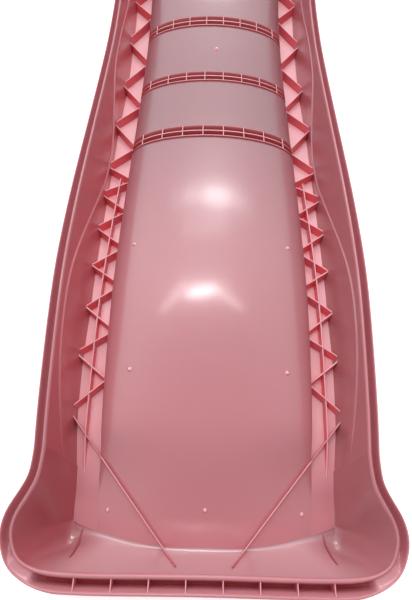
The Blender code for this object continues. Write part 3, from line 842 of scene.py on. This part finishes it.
# --------------------------------------------------------------------------
# gate and ejector marks: a low turned pip in a shallow ring
# --------------------------------------------------------------------------
def pip(name, x, y, r, h, node):
    s = float(station_of(x, y)[0])
    z = float(rail_z(s) + floor_h(x, s))
    e = 0.5
    gx = (float(floor_h(x + e, s)) - float(floor_h(x - e, s))) / (2 * e)
    gy = (float(rail_z(s + e)) - float(rail_z(s - e))) / (2 * e)
    nrm = Vector((-gx, -gy, 1)).normalized()
    t1 = nrm.orthogonal().normalized()
    t2 = nrm.cross(t1)
    prof = [(r * 1.25, -0.6), (r * 1.2, 0.12), (r * 1.0, 0.3), (r * 0.86, h * 0.55),
            (r * 0.72, h * 0.9), (r * 0.5, h), (r * 0.22, h * 0.94)]
    rows = []
    for pr, ph in prof:
        rows.append([tuple(Vector((x, y, z)) + (t1 * math.cos(q) + t2 * math.sin(q)) * pr + nrm * ph)
                     for q in np.linspace(0, 2 * math.pi, 24, endpoint=False)])
    link(name, sweep_mesh(name, rows, 60), PALE, [node])


for n, (x, y) in enumerate(((-98, 156), (98, 156), (-105, 324), (105, 324),
                            (-122, 10), (0, 10), (122, 10)), start=1):
    pip("ejector_pip_%d" % n, x, y, 2.3, 1.8, "ejector_boss_%d" % n)
pip("gate_pip", 4, 778, 3.2, 2.6, "gate_boss")

# --------------------------------------------------------------------------
# top end (outside the photograph)
# --------------------------------------------------------------------------
xs = np.concatenate([[-SKIRT_TOP - 1.5, -(SKIRT_TOP + SKIRT_FOOT) / 2, -SKIRT_FOOT, -151], bed_x,
                     [151, SKIRT_FOOT, (SKIRT_TOP + SKIRT_FOOT) / 2, SKIRT_TOP + 1.5]])
z0 = float(rail_z(TOP_Y))
low = []
for x in xs:
    ax = abs(x)
    if ax >= SKIRT_FOOT:
        low.append(z0 + max(0.0, (ax - SKIRT_FOOT)) / (SKIRT_TOP - SKIRT_FOOT) * (SKIRT_H - 4))
    else:
        low.append(z0 + float(floor_h(x, TOP_Y)))
low = np.array(low) - 0.8
high = z0 + SKIRT_H - 3.0
rows = []
for u in np.linspace(0, 1, 12):
    rows.append(np.stack([xs, np.full(len(xs), TOP_Y + 0.6), low + (high - low) * u], axis=1))
P = np.array(rows)
link("top_end_surface", shell_mesh("top_end_surface", [(P, grid_normals(P))], WALL),
     ROSE, ["top_end_wall"])
rows = []
for x in np.linspace(-SKIRT_TOP - 1, SKIRT_TOP + 1, 40):
    rows.append(rim_section(x, TOP_Y + 0.6, 0.0, 1.0, z0 + SKIRT_H))
link("top_rim_surface", sweep_mesh("top_rim_surface", rows[::-1], 50),
     DEEP, ["top_rim"])

# --------------------------------------------------------------------------
# floor, lights, camera
# --------------------------------------------------------------------------
def stage_floor():
    me = bpy.data.meshes.new("floor")
    s = 20.0
    me.from_pydata([(-s, -s, -0.0007), (s, -s, -0.0007), (s, s, -0.0007), (-s, s, -0.0007)], [], [(0, 1, 2, 3)])
    ob = bpy.data.objects.new("floor", me)
    bpy.context.scene.collection.objects.link(ob)
    mat = bpy.data.materials.new("floor_matt")
    mat.use_nodes = True
    nt = mat.node_tree
    b = nt.nodes["Principled BSDF"]
    b.inputs["Roughness"].default_value = 0.85
    b.inputs["Specular IOR Level"].default_value = 0.2
    tx = nt.nodes.new("ShaderNodeTexNoise")
    tx.inputs["Scale"].default_value = 3.0
    rp = nt.nodes.new("ShaderNodeValToRGB")
    rp.color_ramp.elements[0].color = (0.92, 0.92, 0.92, 1)
    rp.color_ramp.elements[1].color = (0.95, 0.95, 0.95, 1)
    nt.links.new(tx.outputs["Fac"], rp.inputs["Fac"])
    nt.links.new(rp.outputs["Color"], b.inputs["Base Color"])
    b.inputs["Emission Color"].default_value = (1.0, 1.0, 1.0, 1)
    b.inputs["Emission Strength"].default_value = 0.45
    me.materials.append(mat)


stage_floor()

world = bpy.data.worlds.new("studio")
bpy.context.scene.world = world
world.use_nodes = True
bg = world.node_tree.nodes["Background"]
bg.inputs["Color"].default_value = (0.97, 0.975, 1.0, 1)


def sky(nt):
    """Soft room light: brightest high up beyond the top end, weak at the front,
    with a little more from the left than from the right."""
    def math_node(op, a, b, c=None):
        node = nt.nodes.new("ShaderNodeMath")
        node.operation = op
        for k, v in enumerate((a, b, c)):
            if v is None:
                continue
            if isinstance(v, (int, float)):
                node.inputs[k].default_value = v
            else:
                nt.links.new(v, node.inputs[k])
        return node.outputs[0]

    def span(v, lo, hi, out_lo, out_hi):
        node = nt.nodes.new("ShaderNodeMapRange")
        node.interpolation_type = "SMOOTHSTEP"
        for key, val in (("From Min", lo), ("From Max", hi), ("To Min", out_lo), ("To Max", out_hi)):
            node.inputs[key].default_value = val
        nt.links.new(v, node.inputs["Value"])
        return node.outputs["Result"]

    co = nt.nodes.new("ShaderNodeTexCoord").outputs["Generated"]
    dot = nt.nodes.new("ShaderNodeVectorMath")
    dot.operation = "DOT_PRODUCT"
    dot.inputs[1].default_value = (-0.08, 0.667, 0.741)
    nt.links.new(co, dot.inputs[0])
    axes = nt.nodes.new("ShaderNodeSeparateXYZ")
    nt.links.new(co, axes.inputs["Vector"])
    x, z = axes.outputs["X"], axes.outputs["Z"]
    wide = math_node("MULTIPLY_ADD", math_node("MULTIPLY", x, x), 0.35, dot.outputs["Value"])
    ramp = nt.nodes.new("ShaderNodeValToRGB")
    stops = ((0.0, 0.10), (0.40, 0.40), (0.475, 0.50), (0.655, 0.70), (0.7425, 0.80),
             (0.889, 1.02), (0.95, 1.22), (1.0, 1.46))
    els = ramp.color_ramp.elements
    els[0].position, els[-1].position = stops[0][0], stops[-1][0]
    for pos, _ in stops[1:-1]:
        els.new(pos)
    for el, (_, v) in zip(els, stops):
        el.color = (v / 1.5, v / 1.5, v / 1.5, 1)
    nt.links.new(math_node("MULTIPLY_ADD", wide, 0.5, 0.5), ramp.inputs["Fac"])
    near = math_node("MULTIPLY", math_node("MULTIPLY", ramp.outputs["Color"], 1.5), span(z, -0.1, 0.6, 0.55, 1.0))
    left = span(x, -0.15, -0.75, 0.0, 0.50)
    right = span(x, 0.15, 0.75, 0.0, 0.22)
    total = math_node("ADD", near, math_node("MULTIPLY", math_node("ADD", left, right), span(z, -0.1, 0.1, 0.2, 1.0)))
    nt.links.new(total, nt.nodes["Background"].inputs["Strength"])


sky(world.node_tree)


def place_dir(v):
    return (PLACE.to_3x3() @ Vector(v)).normalized()


def area(name, pos, aim, size_x, size_y, radiance, colour=(1, 1, 1)):
    """Soft panel of the given radiance, in the part's frame, in metres."""
    li = bpy.data.lights.new(name, "AREA")
    li.shape = "RECTANGLE"
    li.size, li.size_y = size_x, size_y
    li.energy = radiance * math.pi * size_x * size_y
    li.color = colour
    ob = bpy.data.objects.new(name, li)
    bpy.context.scene.collection.objects.link(ob)
    ob.location = pos
    ob.rotation_euler = (Vector(aim) - Vector(pos)).to_track_quat("-Z", "Y").to_euler()
    return ob


def disc(name, pos, aim, size_x, size_y, radiance, colour=(1, 1, 1)):
    """The same as an elliptical lamp."""
    ob = area(name, pos, aim, size_x, size_y, radiance, colour)
    ob.data.shape = "ELLIPSE"
    return ob


# two lamps that give the bed its highlights
area("lamp_window", (0.098, 1.61, 1.51), (0.005, -0.095, 0.126), 0.42, 0.026, 56.0)
area("lamp_window_band", (0.05, 1.62, 1.50), (0.005, -0.095, 0.126), 1.05, 0.026, 27.0)
area("lamp_window_glow", (0.03, 1.63, 1.49), (0.005, -0.095, 0.126), 1.60, 0.20, 2.0)
area("lamp_upper_window", (-0.10, 1.353, 1.718), (-0.01, -0.17, 0.130), 0.80, 0.030, 13.0)
disc("lamp_left_wing", (-0.66, 0.24, 2.05), (-0.04, -0.26, 0.133), 0.90, 0.12, 6.0)
disc("lamp_right_wing", (0.38, 0.19, 2.08), (0.03, -0.27, 0.133), 0.66, 0.12, 7.0)
disc("lamp_ceiling_glow", (-0.124, 0.36, 2.0), (-0.012, -0.249, 0.133), 1.10, 0.34, 0.9)
disc("lamp_ceiling", (-0.124, 0.311, 2.0), (-0.012, -0.249, 0.133), 0.58, 0.19, 17.0)

cam_data = bpy.data.cameras.new("camera")
cam = bpy.data.objects.new("camera", cam_data)
bpy.context.scene.collection.objects.link(cam)
bpy.context.scene.camera = cam
cam_data.sensor_fit = "VERTICAL"
cam_data.sensor_height = 36.0
cam_data.lens = 462.0 / 600.0 * 36.0
cam_data.clip_start = 0.02
PITCH, YAW, ROLL = math.radians(33.0), math.radians(-0.59), math.radians(1.98)
turn = Matrix.Rotation(YAW, 3, "Z")
fwd = place_dir(turn @ Vector((0, math.sin(PITCH), -math.cos(PITCH))))
upv = place_dir(turn @ Vector((0, math.cos(PITCH), math.sin(PITCH))))
rgt = fwd.cross(upv).normalized()
up2 = (upv * math.cos(ROLL) - rgt * math.sin(ROLL)).normalized()
rgt2 = fwd.cross(up2).normalized()
rot = Matrix((rgt2, up2, -fwd)).transposed()
cam.matrix_world = Matrix.Translation(PLACE @ Vector((-8.6, -82.5, 649.9))) @ rot.to_4x4()

scene = bpy.context.scene
scene.view_settings.view_transform = "Standard"
scene.view_settings.look = "None"
scene.view_settings.exposure = -0.16
